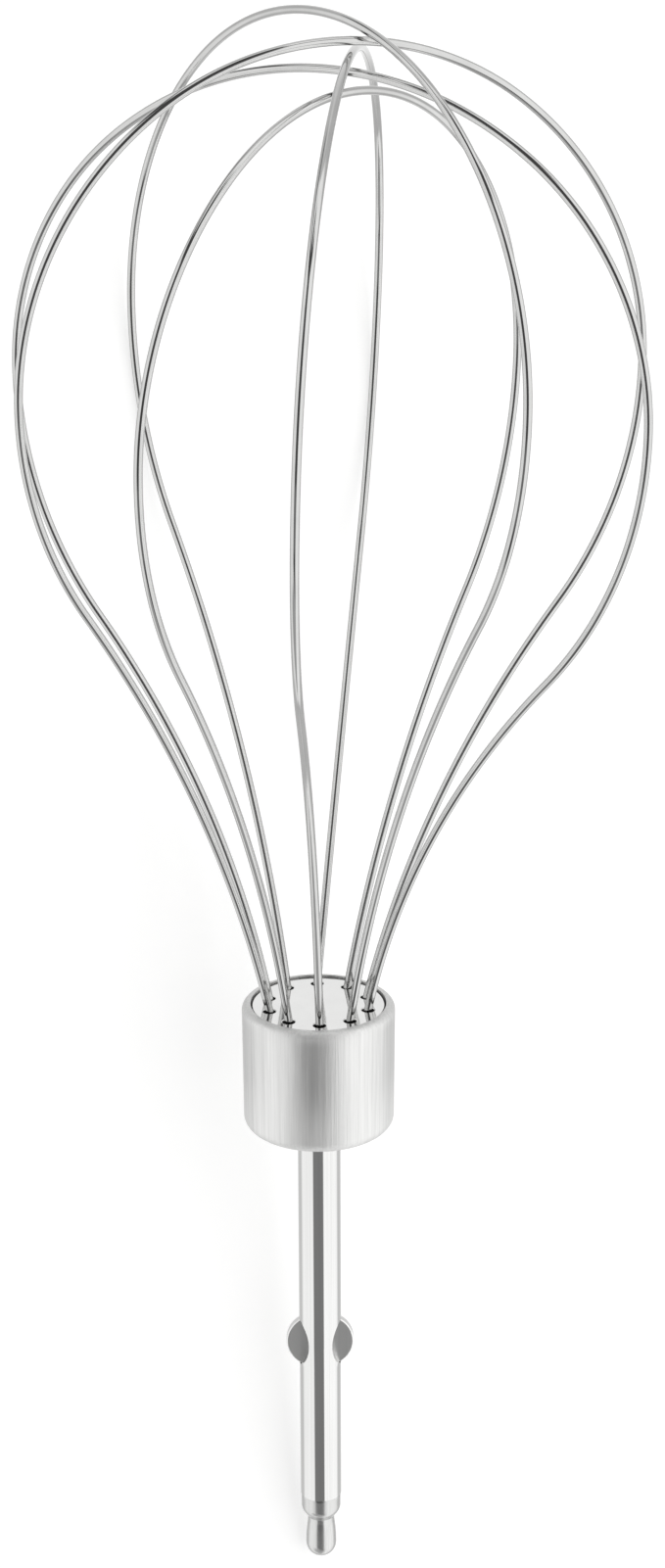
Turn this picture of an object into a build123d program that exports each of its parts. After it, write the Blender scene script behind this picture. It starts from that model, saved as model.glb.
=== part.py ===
from build123d import *
import os
from math import atan2, cos, degrees, radians, sin
from typing import NamedTuple

os.makedirs("parts", exist_ok=True)

# Heights are measured along the whisk's axis from the top face of the disc: up into the
# balloon is positive, down to the tip is negative. Angles are in degrees.

# Wire balloon
BALLOON_HEIGHT = 148.4
BALLOON_RADIUS = 50.6
DOME_HEIGHT = 48.4
WIRE_DIAMETER = 1.25
HOLE_COUNT = 10
HOLE_CIRCLE_RADIUS = 7.9
EXIT_ANGLE = 12.3
FLANK_RADIUS = 59.0
DOME_ANGLE = 53.0
STUB_LENGTH = 9.0


class Loop(NamedTuple):
    """One bent wire: the hole of its front leg, its shares of the balloon's sizes, and its set."""

    front_hole: int
    height_share: float
    dome_share: float
    width_share: float
    sway_share: float
    twist: float
    lean: float

    @property
    def apex(self):
        return BALLOON_HEIGHT * self.height_share

    @property
    def widest(self):
        """Height at which the loop is widest, where its dome begins."""
        return self.apex - DOME_HEIGHT * self.dome_share

    @property
    def half_width(self):
        return BALLOON_RADIUS * self.width_share

    @property
    def sway(self):
        """How far the balloon of the loop stands aside of the axis."""
        return BALLOON_RADIUS * self.sway_share


# Innermost apex first, so that each loop passes over the ones before it
LOOPS = (
    Loop(9, height_share=0.929, dome_share=0.938, width_share=0.852, sway_share=-0.028, twist=-4.3, lean=2.2),
    Loop(2, height_share=0.950, dome_share=0.963, width_share=0.964, sway_share=0.024, twist=-6.4, lean=-0.7),
    Loop(0, height_share=0.969, dome_share=0.934, width_share=1.000, sway_share=0.069, twist=-8.1, lean=2.4),
    Loop(8, height_share=0.981, dome_share=1.000, width_share=0.901, sway_share=-0.036, twist=-4.1, lean=3.4),
    Loop(1, height_share=1.000, dome_share=0.986, width_share=0.913, sway_share=-0.012, twist=0.1, lean=0.2),
)
# The loops whose rear legs the whisk lies on
RESTING_LOOPS = (LOOPS[2], LOOPS[4])

# Perforated disc
DISC_DIAMETER = 20.3
DISC_THICKNESS = 0.8
DISC_HOLE_DIAMETER = 1.95
DISC_EDGE_RADIUS = 0.15

# Collar
COLLAR_WALL = 1.35
COLLAR_TAPER = 0.15
COLLAR_LIP_RISE = 0.3
COLLAR_LIP_RADIUS = 1.1
COLLAR_DEPTH = 20.0
COLLAR_FLOOR = 1.2
COLLAR_EDGE_RADIUS = 1.8
COLLAR_INNER_EDGE_RADIUS = 0.6

# Shaft
SHAFT_DIAMETER = 6.7
SHAFT_TOP = -5.0
PLUG_DIAMETER = 6.6
PLUG_TAPER_LENGTH = 4.2
PLUG_RELIEF = 0.3
PLUG_END = -86.2
GROOVE_WIDTH = 0.5
GROOVE_DEPTH = 0.3
SHOULDER_DIAMETER = 6.3
SHOULDER_LENGTH = 2.4
SHOULDER_EDGE_RADIUS = 1.8
SHOULDER_SLOPE_LENGTH = 1.5
NECK_DIAMETER = 4.3
NECK_LENGTH = 0.8
BALL_DIAMETER = 4.9
BALL_LENGTH = 6.7
EAR_HEIGHT = -58.2
EAR_LENGTH = 7.9
EAR_SPAN = 10.7
EAR_TIP_DEPTH = 0.2
EAR_ROOT_SPAN = 3.7
EAR_THICKNESS = 1.5
EAR_EDGE_RADIUS = 0.25

# Fits
DISC_CLEARANCE = 0.25
CORE_CLEARANCE = 0.1
SHAFT_CLEARANCE = 0.05
SOCKET_CLEARANCE = 0.05

wire_radius = WIRE_DIAMETER / 2
hole_pitch = 360 / HOLE_COUNT
mouth_radius = DISC_DIAMETER / 2 + DISC_CLEARANCE
collar_radius = mouth_radius + COLLAR_WALL
bore_radius = SHAFT_DIAMETER / 2 + SHAFT_CLEARANCE
floor_height = COLLAR_FLOOR - COLLAR_DEPTH
shoulder_top = PLUG_END - GROOVE_WIDTH
shoulder_foot = shoulder_top - SHOULDER_LENGTH
neck_height = shoulder_foot - SHOULDER_SLOPE_LENGTH
tip_height = neck_height - NECK_LENGTH - BALL_LENGTH
ball_height = tip_height + BALL_DIAMETER / 2
ear_foot = EAR_HEIGHT - EAR_LENGTH / 2
ear_tip_radius = PLUG_DIAMETER / 2 - EAR_TIP_DEPTH
ear_bulge = EAR_SPAN / 2 - ear_tip_radius
brim_radius = (ear_bulge**2 + (EAR_LENGTH / 2) ** 2) / (2 * ear_bulge)
plug_top = ear_foot - PLUG_RELIEF


def hole_point(number):
    """Centre of a hole of the disc, counted counter-clockwise from the front."""
    return Vector(HOLE_CIRCLE_RADIUS, 0, 0).rotate(Axis.Z, number * hole_pitch - 90)


def loop_plane(loop):
    """Plane of a loop's balloon: X towards the front leg, Y up to the apex."""
    turn = loop.front_hole * hole_pitch - 90 + loop.twist
    return Plane(Rotation(Z=turn) * Rotation(X=90 - loop.lean))


def flank_centre(loop, side):
    """Centre of the flank arc of the front (1) or rear (-1) leg, in the plane of its loop."""
    return (loop.sway + side * (loop.half_width - FLANK_RADIUS), loop.widest)


def flank_angle(loop, side):
    """Angle that the flank turns through before the leg curves back towards its hole."""
    centre_x, rise = flank_centre(loop, side)
    reach = HOLE_CIRCLE_RADIUS - side * centre_x
    across = cos(radians(EXIT_ANGLE))
    down = sin(radians(EXIT_ANGLE))
    gap = reach**2 + rise**2 - FLANK_RADIUS**2
    flare_radius = gap / (2 * (FLANK_RADIUS - reach * across - rise * down))
    return degrees(atan2(rise + flare_radius * down, reach + flare_radius * across))


# Wire loops: a dome, two shoulders, two flanks and two flares, all tangent arcs, then a straight
# stub at each end that runs on through its hole
pieces = {}
stub_ends = []
dome_sin = sin(radians(DOME_ANGLE))
dome_cos = cos(radians(DOME_ANGLE))
for number, loop in enumerate(LOOPS, start=1):
    cap_slope = (1 - dome_sin) / dome_cos
    cap_rise = loop.apex - loop.widest - loop.half_width * cap_slope
    shoulder_radius = cap_rise / (dome_sin - (1 - dome_cos) * cap_slope)
    inset = loop.half_width - shoulder_radius
    dome_radius = shoulder_radius + inset / dome_cos
    front_angle = flank_angle(loop, 1)
    rear_angle = flank_angle(loop, -1)
    front_hole = hole_point(loop.front_hole)
    with BuildPart() as wire_loop:
        with BuildLine(loop_plane(loop)) as path:
            CenterArc((loop.sway, loop.apex - dome_radius), dome_radius, DOME_ANGLE, 180 - 2 * DOME_ANGLE)
            CenterArc((loop.sway + inset, loop.widest), shoulder_radius, 0, DOME_ANGLE)
            CenterArc((loop.sway - inset, loop.widest), shoulder_radius, 180 - DOME_ANGLE, DOME_ANGLE)
            front_flank = CenterArc(flank_centre(loop, 1), FLANK_RADIUS, -front_angle, front_angle)
            rear_flank = CenterArc(flank_centre(loop, -1), FLANK_RADIUS, 180, rear_angle)
            front_flare = TangentArc(front_flank @ 0, front_hole, tangent=-(front_flank % 0))
            rear_flare = TangentArc(rear_flank @ 1, -front_hole, tangent=rear_flank % 1)
            front_stub = Line(front_flare @ 1, front_flare @ 1 + (front_flare % 1) * STUB_LENGTH)
            rear_stub = Line(rear_flare @ 1, rear_flare @ 1 + (rear_flare % 1) * STUB_LENGTH)
        front_end = Plane(front_stub @ 1, z_dir=-(front_stub % 1))
        rear_end = Plane(rear_stub @ 1, z_dir=-(rear_stub % 1))
        with BuildSketch(front_end):
            Circle(wire_radius)
        sweep(path=path.wires()[0])
    stub_ends += [front_end, rear_end]
    pieces[f"wire_loop_{number}"] = wire_loop

# Disc: one hole for each leg
with BuildPart() as wire_disc:
    with BuildSketch():
        Circle(DISC_DIAMETER / 2)
        with PolarLocations(HOLE_CIRCLE_RADIUS, HOLE_COUNT, start_angle=-90):
            Circle(DISC_HOLE_DIAMETER / 2, mode=Mode.SUBTRACT)
    extrude(amount=-DISC_THICKNESS)
    fillet(wire_disc.edges().filter_by(GeomType.CIRCLE).group_by(Axis.Z)[-1], DISC_EDGE_RADIUS)
pieces["wire_disc"] = wire_disc

# Collar: a drawn cup, a little wider at its lip, round the disc and the core
with BuildPart() as collar:
    with BuildSketch(Plane.XZ):
        with BuildLine():
            Polyline(
                (bore_radius, -COLLAR_DEPTH),
                (collar_radius - COLLAR_TAPER, -COLLAR_DEPTH),
                (collar_radius, COLLAR_LIP_RISE),
                (mouth_radius, COLLAR_LIP_RISE),
                (mouth_radius, floor_height),
                (bore_radius, floor_height),
                close=True,
            )
        make_face()
    revolve(axis=Axis.Z)
    rims = collar.edges().filter_by(GeomType.CIRCLE)
    fillet(rims.group_by(Axis.Z)[0].sort_by(SortBy.RADIUS)[-1], COLLAR_EDGE_RADIUS)
    fillet(rims.group_by(Axis.Z)[1].sort_by(SortBy.RADIUS)[-1], COLLAR_INNER_EDGE_RADIUS)
    fillet(rims.group_by(Axis.Z)[-1].sort_by(SortBy.RADIUS)[-1], COLLAR_LIP_RADIUS)
pieces["collar"] = collar

# Core: fills the collar under the disc, with a blind bore for the shaft and a blind socket for
# each wire end
with BuildPart() as wire_core:
    with BuildSketch(Plane.XY.offset(floor_height)):
        Circle(mouth_radius - CORE_CLEARANCE)
    extrude(amount=-DISC_THICKNESS - floor_height)
    fillet(wire_core.edges().sort_by(Axis.Z)[0], COLLAR_INNER_EDGE_RADIUS)
    with BuildSketch(Plane.XY.offset(floor_height)):
        Circle(bore_radius)
    extrude(amount=SHAFT_TOP - floor_height, mode=Mode.SUBTRACT)
    with BuildSketch(*stub_ends):
        Circle(wire_radius + SOCKET_CLEARANCE)
    extrude(amount=STUB_LENGTH, mode=Mode.SUBTRACT)
pieces["wire_core"] = wire_core

# Shaft: a rod that ends in a slightly thinner plug, a turned groove, a rounded shoulder, a neck and
# a ball, with two lens-shaped ears pinched out of its sides
with BuildPart() as shaft:
    with BuildSketch(Plane.XZ):
        with BuildLine():
            Polyline(
                (0, tip_height),
                (0, SHAFT_TOP),
                (SHAFT_DIAMETER / 2, SHAFT_TOP),
                (SHAFT_DIAMETER / 2, plug_top + PLUG_TAPER_LENGTH),
                (PLUG_DIAMETER / 2, plug_top),
                (PLUG_DIAMETER / 2, PLUG_END),
                (PLUG_DIAMETER / 2 - GROOVE_DEPTH, PLUG_END - GROOVE_WIDTH / 2),
                (SHOULDER_DIAMETER / 2, shoulder_top),
                (SHOULDER_DIAMETER / 2, shoulder_foot),
                (NECK_DIAMETER / 2, neck_height),
                (NECK_DIAMETER / 2, neck_height - NECK_LENGTH),
            )
            TangentArc(
                (BALL_DIAMETER / 2, ball_height),
                (NECK_DIAMETER / 2, neck_height - NECK_LENGTH),
                tangent=(0, 1),
            )
            CenterArc((0, ball_height), BALL_DIAMETER / 2, -90, 90)
        make_face()
    revolve(axis=Axis.Z)
    turned_edges = shaft.edges().filter_by(GeomType.CIRCLE)
    fillet(turned_edges.filter_by_position(Axis.Z, shoulder_foot, shoulder_foot), SHOULDER_EDGE_RADIUS)
    with BuildSketch(Plane.XZ):
        with BuildLine():
            brim = ThreePointArc(
                (ear_tip_radius, ear_foot),
                (EAR_SPAN / 2, EAR_HEIGHT),
                (ear_tip_radius, ear_foot + EAR_LENGTH),
            )
            ThreePointArc(brim @ 1, (EAR_ROOT_SPAN / 2, EAR_HEIGHT), brim @ 0)
        make_face()
        mirror(about=Plane.YZ)
    extrude(amount=SHAFT_DIAMETER, both=True, mode=Mode.SUBTRACT)
    with BuildPart() as ears:
        with BuildSketch(Plane.XZ):
            with Locations((EAR_SPAN / 2 - brim_radius, EAR_HEIGHT)):
                Circle(brim_radius)
        extrude(amount=EAR_THICKNESS / 2, both=True)
        fillet(ears.edges().filter_by(GeomType.CIRCLE), EAR_EDGE_RADIUS)
        split(bisect_by=Plane.YZ)
        mirror(about=Plane.YZ)
pieces["shaft"] = shaft


def leg_contact(loop, down):
    """Lowest point of a loop's rear leg."""
    plane = loop_plane(loop)
    outward = down - plane.z_dir * down.dot(plane.z_dir)
    leg = plane.from_local_coords(flank_centre(loop, -1)) + outward.normalized() * FLANK_RADIUS
    return leg + down * wire_radius


# Resting pose: the whisk lies on two rear legs and the ball, with its balloon towards +Y
down = Vector(0, 1, 0)
for _ in range(40):
    ball_contact = Vector(0, 0, ball_height) + down * (BALL_DIAMETER / 2)
    first_contact, second_contact = [leg_contact(loop, down) for loop in RESTING_LOOPS]
    normal = (first_contact - ball_contact).cross(second_contact - ball_contact).normalized()
    down = normal * (1 if normal.dot(down) > 0 else -1)
along = (Vector(0, 0, 1) - down * down.Z).normalized()
surface = Plane(ball_contact, x_dir=along.cross(-down), z_dir=-down)
lying = Location(surface).inverse()
box = Compound([piece.part.moved(lying) for piece in pieces.values()]).bounding_box()
pose = Location((-box.center().X, -box.center().Y, -box.min.Z)) * lying

for name, piece in pieces.items():
    piece.part.move(pose)
    piece.part.label = name
    export_step(piece.part, f"parts/{name}.step")
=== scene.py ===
from math import atan2, cos, pi, radians, sin
from typing import NamedTuple

import bmesh
import bpy
from mathutils import Matrix, Vector


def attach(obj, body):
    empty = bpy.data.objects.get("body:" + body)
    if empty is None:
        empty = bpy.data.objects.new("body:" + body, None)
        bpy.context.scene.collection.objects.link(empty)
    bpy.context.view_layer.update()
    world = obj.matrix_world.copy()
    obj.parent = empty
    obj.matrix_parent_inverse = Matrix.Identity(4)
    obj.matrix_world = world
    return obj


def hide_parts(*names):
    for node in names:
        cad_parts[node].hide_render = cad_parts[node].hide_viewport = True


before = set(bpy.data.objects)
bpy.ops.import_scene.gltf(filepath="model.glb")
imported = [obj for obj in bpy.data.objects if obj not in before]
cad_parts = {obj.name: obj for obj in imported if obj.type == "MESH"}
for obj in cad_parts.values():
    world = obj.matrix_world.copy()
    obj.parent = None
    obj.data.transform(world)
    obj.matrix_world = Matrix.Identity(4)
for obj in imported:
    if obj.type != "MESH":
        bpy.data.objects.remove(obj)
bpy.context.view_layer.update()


# Core
# The plug of dark plastic that is moulded inside the collar. It grips the wire ends and the
# shaft, and shows only as darkness in the holes of the disc.

class Shade:
    """A value in a node tree. Sums and products of such values become Math nodes."""

    def __init__(self, tree, socket=None):
        self.tree = tree
        self.socket = socket

    def node(self, kind, settings, inputs, output=0):
        """Adds a node with its settings, then its values and links, and gives one output."""
        made = self.tree.nodes.new(kind)
        for name, value in settings.items():
            setattr(made, name, value)
        for name, value in inputs.items():
            if isinstance(value, Shade):
                self.tree.links.new(value.socket, made.inputs[name])
            else:
                made.inputs[name].default_value = value
        return Shade(self.tree, made.outputs[output])

    def maths(self, operation, *values):
        return self.node("ShaderNodeMath", {"operation": operation}, dict(enumerate(values)))

    def __add__(self, other):
        return self.maths("ADD", self, other)

    def __sub__(self, other):
        return self.maths("SUBTRACT", self, other)

    def __rsub__(self, other):
        return self.maths("SUBTRACT", other, self)

    def __mul__(self, other):
        return self.maths("MULTIPLY", self, other)

    def __abs__(self):
        return self.maths("ABSOLUTE", self)

    __radd__ = __add__
    __rmul__ = __mul__

    def along(self, axis):
        """One coordinate of a place or direction."""
        return self.node("ShaderNodeSeparateXYZ", {}, {"Vector": self}, axis)

    def into(self, shader, name):
        """Links this value to a socket of a shader."""
        self.tree.links.new(self.socket, shader.inputs[name])


def new_finish(name, metallic=0):
    """A material, its shader, and a value from which its other nodes are added."""
    material = bpy.data.materials.new(name)
    material.use_nodes = True
    shader = material.node_tree.nodes["Principled BSDF"]
    shader.inputs["Metallic"].default_value = metallic
    return material, shader, Shade(material.node_tree)


def object_place(shade):
    """The place of each point in the frame of its object."""
    return shade.node("ShaderNodeTexCoord", {}, {}, "Object")


def grain(place, scale, detail, roughness=0.5):
    """Noise from 0 to 1 over a place."""
    values = {"Vector": place, "Scale": scale, "Detail": detail, "Roughness": roughness}
    return place.node("ShaderNodeTexNoise", {}, values)


def grey_between(mask, dark, light, blue_share=0.99):
    """A warm grey that goes from dark to light with a mask."""
    # In a Mix node the colours A and B are sockets 6 and 7, and their mix is output 2
    ends = {6: (dark, dark, dark * blue_share, 1), 7: (light, light, light * blue_share, 1)}
    return mask.node("ShaderNodeMix", {"data_type": "RGBA"}, {0: mask, **ends}, output=2)


core_plastic, shader, shade = new_finish("moulded_core")
speckle = grain(object_place(shade), scale=900, detail=4)
grey_between(speckle, dark=0.012, light=0.03).into(shader, "Base Color")
(0.5 + speckle * 0.2).into(shader, "Roughness")
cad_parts["wire_core"].material_slots[0].material = core_plastic


# Shaft
# The drive shaft: a drawn and polished steel rod. The two ears that turn the whisk are stamped out
# of it, with satin faces, and the shoulder, neck and ball that snap into the mixer are turned. The
# ears' paler colour is a painted sheen, and the turned end's darker colour is painted shade for its
# dark reflections.

DISC_CENTRE = Vector((-0.00191953, -0.02537199, 0.02281563))
TILT = radians(12.29343)
ROLL = radians(-12.92375)
EAR_HEIGHT = -0.0582
EAR_HALF_LENGTH = 0.0041
EAR_HALF_THICKNESS = 0.0008
EAR_FACE_EDGE = 0.0002
PLUG_END = -0.0862
FINISH_EDGE = 0.0003
lying = (
    Matrix.Translation(DISC_CENTRE)
    @ Matrix.Rotation(TILT - pi / 2, 4, "X")
    @ Matrix.Rotation(ROLL, 4, "Z")
)


def along_whisk(shade):
    """Places measured from the centre of the disc, with Z along the whisk's axis."""
    values = {"Vector": object_place(shade), "Location": DISC_CENTRE, "Rotation": lying.to_euler()}
    return shade.node("ShaderNodeMapping", {"vector_type": "TEXTURE"}, values)


def draw_out(place, stretch):
    """A place drawn out along Z, for marks that run that way."""
    return place.node("ShaderNodeMapping", {}, {"Vector": place, "Scale": (1, 1, 1 / stretch)})


def dent(height, shader, strength, distance):
    """Lets a height in the grain show as a fine relief."""
    values = {"Height": height, "Strength": strength, "Distance": distance}
    height.node("ShaderNodeBump", {}, values).into(shader, "Normal")


def ramp(value, start, end, low=0.0, high=1.0):
    """Goes smoothly from low to high as a value goes from start to end."""
    ends = {"Value": value, "From Min": start, "From Max": end, "To Min": low, "To Max": high}
    return value.node("ShaderNodeMapRange", {"interpolation_type": "SMOOTHSTEP"}, ends)


shaft_steel, shader, shade = new_finish("polished_shaft", metallic=1)
place = along_whisk(shade)
draw_lines = grain(draw_out(place, 250), scale=4200, detail=3)
haze = grain(draw_out(place, 5), scale=160, detail=3)
from_ears = abs(place.along("Z") - EAR_HEIGHT)
from_faces = abs(place.along("Y"))
# Ears: rougher for their satin faces, and paler in colour as a painted sheen
satin_ears_and_sheen = ramp(from_ears, EAR_HALF_LENGTH + FINISH_EDGE, EAR_HALF_LENGTH)
satin_ears_and_sheen = satin_ears_and_sheen * ramp(from_faces, EAR_HALF_THICKNESS + EAR_FACE_EDGE, EAR_HALF_THICKNESS)
# Turned end: rougher, and darker in colour as painted shade for its dark reflections
turned_end_and_shade = ramp(place.along("Z"), PLUG_END, PLUG_END - FINISH_EDGE)
brightness = draw_lines * 0.6 + haze * 0.4 + satin_ears_and_sheen * 0.5 - turned_end_and_shade * 0.3
grey_between(brightness, dark=0.5, light=0.74).into(shader, "Base Color")
(0.03 + draw_lines * 0.03 + haze * 0.03 + satin_ears_and_sheen * 0.27 + turned_end_and_shade * 0.2).into(shader, "Roughness")
dent(draw_lines, shader, strength=0.06, distance=0.00002)
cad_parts["shaft"].material_slots[0].material = shaft_steel


# Collar
# A deep-drawn stainless cup round the core. It is brushed along the axis, and is paler and duller
# at its rounded lip and towards its lower edge. The paleness at the lip is a painted highlight.

LIP_START = -0.002
LIP_FULL = -0.0004
FOOT_START = -0.008
FOOT_FULL = -0.018
collar_steel, shader, shade = new_finish("brushed_collar", metallic=1)
place = along_whisk(shade)
strokes = grain(draw_out(place, 60), scale=2400, detail=4, roughness=0.7)
bands = grain(draw_out(place, 60), scale=520, detail=2)
lip_and_highlight = ramp(place.along("Z"), LIP_START, LIP_FULL)
foot = ramp(place.along("Z"), FOOT_START, FOOT_FULL)
# The lip term makes the colour paler there as a painted highlight; the foot term makes it paler
# towards the lower edge
brightness = strokes * 0.85 + bands * 0.15 + lip_and_highlight * 0.1 + foot * 0.2
grey_between(brightness, dark=0.42, light=0.84).into(shader, "Base Color")
(0.37 + lip_and_highlight * 0.12 + foot * 0.12 + strokes * 0.12).into(shader, "Roughness")
dent(strokes, shader, strength=0.5, distance=0.00008)
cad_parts["collar"].material_slots[0].material = collar_steel


# Disc
# A bright sheet of stainless with ten punched holes, one for each wire leg. It lies in the mouth
# of the collar on the core.

disc_steel, shader, shade = new_finish("bright_disc", metallic=1)
ripple = grain(along_whisk(shade), scale=240, detail=3)
grey_between(ripple, dark=0.72, light=0.8).into(shader, "Base Color")
(0.05 + ripple * 0.04).into(shader, "Roughness")
dent(ripple, shader, strength=0.12, distance=0.0001)
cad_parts["wire_disc"].material_slots[0].material = disc_steel


# Wire loops
# Five lengths of springy stainless wire, drawn, polished and bent by hand into balloon loops that
# cross under their tops. Both ends of each go through the disc into the core.

WIRE_RADIUS = 0.000625
WIRE_SIDES = 24
BEND_STEP = 0.0011
BALLOON_HEIGHT = 0.1484
BALLOON_RADIUS = 0.0506
DOME_HEIGHT = 0.0484
DOME_ANGLE = radians(53)
FLANK_RADIUS = 0.059
EXIT_ANGLE = radians(12.3)
HOLE_CIRCLE = 0.0079
HOLE_PITCH = radians(36)
STUB = 0.009

wire_steel, shader, shade = new_finish("polished_wire", metallic=1)
drawn = shade.node("ShaderNodeAttribute", {"attribute_name": "drawn"}, {}, "Vector")
die_marks = grain(draw_out(drawn, 100), scale=5200, detail=2)
haze = grain(drawn, scale=300, detail=3)
grey_between(die_marks * 0.5 + haze * 0.5, dark=0.4, light=0.57).into(shader, "Base Color")
(0.04 + die_marks * 0.04 + haze * 0.04).into(shader, "Roughness")
dent(die_marks, shader, strength=0.06, distance=0.00002)


class Arc(NamedTuple):
    """A bend: a turn by an angle about an axis through its centre."""

    centre: Vector
    axis: Vector
    radius: float
    angle: float

    def turn(self, direction):
        """A direction after the bend."""
        return Matrix.Rotation(self.angle, 3, self.axis) @ direction


class BentWire:
    """A wire in the making: its mesh, the ring of points it has come to, and its length so far.
    Each point keeps its place on the straight wire, for the marks of the drawing die."""

    def __init__(self, start, direction):
        self.mesh = bmesh.new()
        self.drawn = self.mesh.verts.layers.float_vector.new("drawn")
        facing = direction.to_track_quat("Z", "Y").to_matrix().to_4x4()
        bmesh.ops.create_circle(
            self.mesh,
            cap_ends=True,
            radius=WIRE_RADIUS,
            segments=WIRE_SIDES,
            matrix=Matrix.Translation(start) @ facing,
        )
        for side, vert in enumerate(self.mesh.verts):
            turn = 2 * pi * side / WIRE_SIDES
            vert[self.drawn] = (WIRE_RADIUS * cos(turn), WIRE_RADIUS * sin(turn), 0)
        self.ring = self.mesh.verts[:] + self.mesh.edges[:]
        self.length = 0

    def grow(self, length, **turn):
        """Draws the ring on by one turn or move of a length."""
        self.ring = bmesh.ops.spin(self.mesh, geom=self.ring, steps=1, **turn)["geom_last"]
        self.length += length
        for vert in self.ring:
            if isinstance(vert, bmesh.types.BMVert):
                vert[self.drawn].z = self.length

    def straight(self, run):
        self.grow(run.length, cent=(0, 0, 0), axis=(0, 0, 1), angle=0, dvec=run)

    def bend(self, centre, axis, radius, angle):
        steps = max(2, round(radius * angle / BEND_STEP))
        for _ in range(steps):
            self.grow(radius * angle / steps, cent=centre, axis=axis, angle=angle / steps)

    def finish(self, name):
        """Closes the end, and makes the wire a piece that lies as the whisk does."""
        bmesh.ops.holes_fill(self.mesh, edges=self.mesh.edges[:])
        bmesh.ops.recalc_face_normals(self.mesh, faces=self.mesh.faces[:])
        bmesh.ops.transform(self.mesh, matrix=lying, verts=self.mesh.verts[:])
        for face in self.mesh.faces:
            face.smooth = len(face.verts) == 4
        data = bpy.data.meshes.new(name)
        self.mesh.to_mesh(data)
        self.mesh.free()
        data.materials.append(wire_steel)
        piece = bpy.data.objects.new(name, data)
        bpy.context.scene.collection.objects.link(piece)
        return piece


def on_plane(plane, across, up):
    """A point in the plane of a loop."""
    return plane @ Vector((across, up, 0))


def heading(plane, angle):
    """Direction of travel, from the front leg over the top, at an angle of an arc."""
    return plane.to_3x3() @ Vector((-sin(angle), cos(angle), 0))


def flank_angle(centre_across, rise):
    """Angle that a flank turns through before its leg curves back towards its hole."""
    reach = HOLE_CIRCLE - centre_across
    gap = reach**2 + rise**2 - FLANK_RADIUS**2
    flare = gap / (2 * (FLANK_RADIUS - reach * cos(EXIT_ANGLE) - rise * sin(EXIT_ANGLE)))
    return atan2(rise + flare * sin(EXIT_ANGLE), reach + flare * cos(EXIT_ANGLE))


def flare_arc(start, direction, hole):
    """Arc that leaves a flank smoothly and ends in a hole."""
    half = direction.angle(hole - start)
    axis = direction.cross(hole - start).normalized()
    radius = (hole - start).length / (2 * sin(half))
    return Arc(start + axis.cross(direction) * radius, axis, radius, 2 * half)


# Front hole, then shares of the balloon's height, dome height, width and sway, then the twist about
# the whisk's axis and the lean of the plane in degrees
loops = (
    (9, 0.929, 0.938, 0.852, -0.028, -4.3, 2.2),
    (2, 0.950, 0.963, 0.964, 0.024, -6.4, -0.7),
    (0, 0.969, 0.934, 1.000, 0.069, -8.1, 2.4),
    (8, 0.981, 1.000, 0.901, -0.036, -4.1, 3.4),
    (1, 1.000, 0.986, 0.913, -0.012, 0.1, 0.2),
)
for number, (front_hole, height, dome, width, sway, twist, lean) in enumerate(loops, start=1):
    apex = BALLOON_HEIGHT * height
    widest = apex - DOME_HEIGHT * dome
    half_width = BALLOON_RADIUS * width
    aside = BALLOON_RADIUS * sway
    cap_slope = (1 - sin(DOME_ANGLE)) / cos(DOME_ANGLE)
    cap_rise = apex - widest - half_width * cap_slope
    shoulder = cap_rise / (sin(DOME_ANGLE) - (1 - cos(DOME_ANGLE)) * cap_slope)
    inset = half_width - shoulder
    crown = shoulder + inset / cos(DOME_ANGLE)

    hole_turn = front_hole * HOLE_PITCH - pi / 2
    hole = Vector((cos(hole_turn), sin(hole_turn), 0)) * HOLE_CIRCLE
    set_turn = Matrix.Rotation(hole_turn + radians(twist), 4, "Z")
    plane = set_turn @ Matrix.Rotation(pi / 2 - radians(lean), 4, "X")
    axis = plane.to_3x3() @ Vector((0, 0, 1))

    flank_across = half_width - FLANK_RADIUS
    front_angle = flank_angle(flank_across + aside, widest)
    front_reach = aside + flank_across + FLANK_RADIUS * cos(front_angle)
    front_end = on_plane(plane, front_reach, widest - FLANK_RADIUS * sin(front_angle))
    front_way = -heading(plane, -front_angle)
    front_flare = flare_arc(front_end, front_way, hole)
    front_down = front_flare.turn(front_way)

    rear_angle = flank_angle(flank_across - aside, widest)
    rear_reach = aside - flank_across - FLANK_RADIUS * cos(rear_angle)
    rear_end = on_plane(plane, rear_reach, widest - FLANK_RADIUS * sin(rear_angle))
    rear_way = heading(plane, pi + rear_angle)
    rear_flare = flare_arc(rear_end, rear_way, -hole)
    rear_down = rear_flare.turn(rear_way)

    wire = BentWire(hole + front_down * STUB, -front_down)
    wire.straight(-front_down * STUB)
    wire.bend(front_flare.centre, -front_flare.axis, front_flare.radius, front_flare.angle)
    wire.bend(on_plane(plane, aside + flank_across, widest), axis, FLANK_RADIUS, front_angle)
    wire.bend(on_plane(plane, aside + inset, widest), axis, shoulder, DOME_ANGLE)
    wire.bend(on_plane(plane, aside, apex - crown), axis, crown, pi - 2 * DOME_ANGLE)
    wire.bend(on_plane(plane, aside - inset, widest), axis, shoulder, DOME_ANGLE)
    wire.bend(on_plane(plane, aside - flank_across, widest), axis, FLANK_RADIUS, rear_angle)
    wire.bend(*rear_flare)
    wire.straight(rear_down * STUB)
    piece = wire.finish(f"bent_wire_{number}")
    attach(piece, "root")
    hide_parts(f"wire_loop_{number}")


# Floor
# A plain white table that glows a little, as for photographs of small polished parts. It is kept
# out of the reflections, so the steel shows only the tent.

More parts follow.
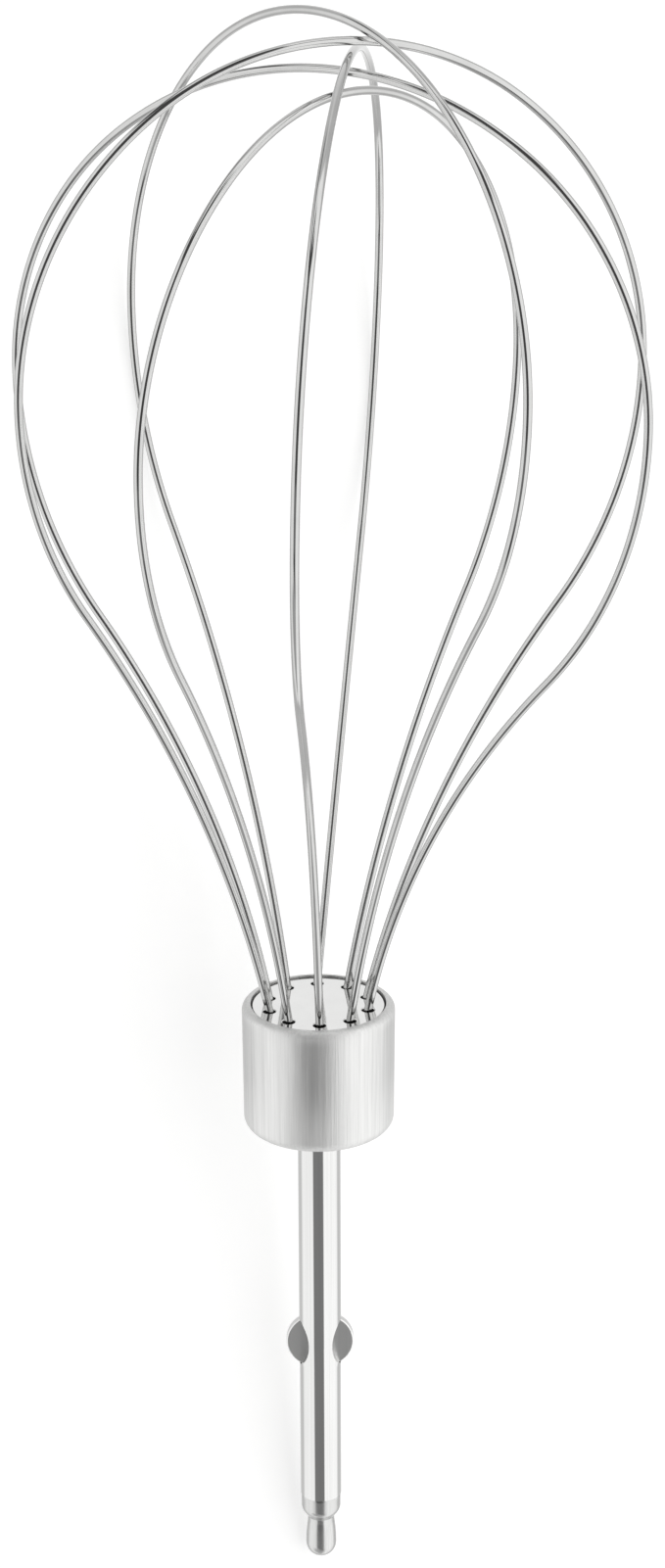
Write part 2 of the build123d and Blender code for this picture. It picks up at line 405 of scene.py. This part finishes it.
TABLE_RADIUS = 30
TABLE_SIDES = 96
TABLE_GLOW = 0.64
bm = bmesh.new()
bmesh.ops.create_circle(bm, cap_ends=True, radius=TABLE_RADIUS, segments=TABLE_SIDES)
table_mesh = bpy.data.meshes.new("table")
bm.to_mesh(table_mesh)
bm.free()
table = bpy.data.objects.new("table", table_mesh)
bpy.context.scene.collection.objects.link(table)
table_white, shader, shade = new_finish("white_table")
fibre = grain(object_place(shade), scale=300, detail=4)
grey_between(fibre, dark=0.49, light=0.51).into(shader, "Base Color")
shader.inputs["Roughness"].default_value = 0.9
shader.inputs["Specular IOR Level"].default_value = 0.1
shader.inputs["Emission Color"].default_value = (1, 1, 1, 1)
shader.inputs["Emission Strength"].default_value = TABLE_GLOW
table_mesh.materials.append(table_white)
table.visible_glossy = False


# Light
# A white tent, dimmer below and grey towards the shaft's end. The camera looks in through a dark
# gap, a strip along the whisk with a bar across its top, which shows as the dark line in every
# polished piece. Behind the table the camera itself sees plain white.

# In degrees, a bearing goes round the whisk, from 0 towards the camera to the right, and a rise goes
# along its axis. Four values are where a shade starts, is full, starts to fade and ends
STRIP_BEARINGS = (-37, -31, 18, 24)
STRIP_FOOT = (-54, -46)
STRIP_FOOT_SLANT = 0.25
STRIP_TOP = (84, 74)
BAR_BEARINGS = (-150, -135, 45, 60)
BAR_RISES = (47, 51, 57, 63)
SHAFT_RISE = -29.5
SHAFT_SPREAD = (7.5, 11.5)
SHAFT_GAP_SHADE = 0.28
WIRE_GAP_SHADE = 0.1
SIDE_BEARINGS = (-60, 40)
SIDE_WHITES = (1.35, 1.5)
LOWER_BEARINGS = (100, 118)
BOTTOM_BEARINGS = (148, 168)
LOWER_WHITES = (0.8, 1.02)
SKIRT_BEARINGS = (-75, -60, 25, 40)
SKIRT_RISES = (-40, -50)
SKIRT_SHADE = 0.58
BACKDROP_WHITE = 1.2
CAMERA_TURN = Matrix.Rotation(radians(-1.55), 4, "Z")


def window(value, start, full, fade, end):
    """Comes up from 0 to 1 between start and full, and goes back between fade and end."""
    return ramp(value, start, full) * ramp(value, end, fade)


tent = bpy.data.worlds.new("tent")
bpy.context.scene.world = tent
tent.use_nodes = True
shade = Shade(tent.node_tree)
values = {
    "Vector": shade.node("ShaderNodeTexCoord", {}, {}, "Generated"),
    "Rotation": (lying @ CAMERA_TURN).to_euler(),
}
outward = shade.node("ShaderNodeMapping", {"vector_type": "TEXTURE"}, values)
towards_camera = 0 - outward.along("Y")
bearing = shade.maths("DEGREES", shade.maths("ARCTAN2", outward.along("X"), towards_camera))
rise = shade.maths("DEGREES", shade.maths("ARCSINE", outward.along("Z")))

strip = window(bearing, *STRIP_BEARINGS) * ramp(rise, *STRIP_TOP)
strip = strip * ramp(rise + bearing * STRIP_FOOT_SLANT, *STRIP_FOOT)
bar = window(bearing, *BAR_BEARINGS) * window(rise, *BAR_RISES)
gap = shade.maths("MAXIMUM", strip, bar)
gap_shade = ramp(abs(rise - SHAFT_RISE), *SHAFT_SPREAD, SHAFT_GAP_SHADE, WIRE_GAP_SHADE)

upper_white = ramp(bearing, *SIDE_BEARINGS, *SIDE_WHITES)
lower_white = ramp(abs(bearing), *BOTTOM_BEARINGS, *LOWER_WHITES)
white = upper_white - ramp(abs(bearing), *LOWER_BEARINGS) * (upper_white - lower_white)
skirt = window(bearing, *SKIRT_BEARINGS) * ramp(rise, *SKIRT_RISES)
white = white * (1 - SKIRT_SHADE * skirt)

light = white - gap * (white - gap_shade)
seen = shade.node("ShaderNodeLightPath", {}, {}, "Is Camera Ray")
(light + seen * (BACKDROP_WHITE - light)).into(tent.node_tree.nodes["Background"], "Color")


# Camera
# The photograph's view: from the front of the whisk, 20 degrees above square to its axis. Its place,
# lens and small turns come from a fit of the whisk to the photograph.

FRAME_HEIGHT = 1601
FOCAL_PIXELS = 3221.204
SENSOR = 36
LOOK_DOWN = radians(20.008)
LOOK_AT = Vector((0.002276, 0, 0.035796))
DISTANCE = 0.470373
YAW = radians(0.041)
BANK = radians(-0.191)
camera_data = bpy.data.cameras.new("camera")
camera_data.sensor_width = SENSOR
camera_data.lens = FOCAL_PIXELS / FRAME_HEIGHT * SENSOR
camera_data.clip_start = 0.01
camera = bpy.data.objects.new("camera", camera_data)
aim = (
    Matrix.Rotation(pi / 2 - LOOK_DOWN, 4, "X")
    @ Matrix.Rotation(YAW, 4, "Y")
    @ Matrix.Rotation(BANK, 4, "Z")
)
stand = Matrix.Translation(LOOK_AT) @ aim @ Matrix.Translation((0, 0, DISTANCE))
camera.matrix_world = lying @ CAMERA_TURN @ stand
bpy.context.scene.collection.objects.link(camera)
bpy.context.scene.camera = camera
bpy.context.scene.view_settings.view_transform = "Standard"
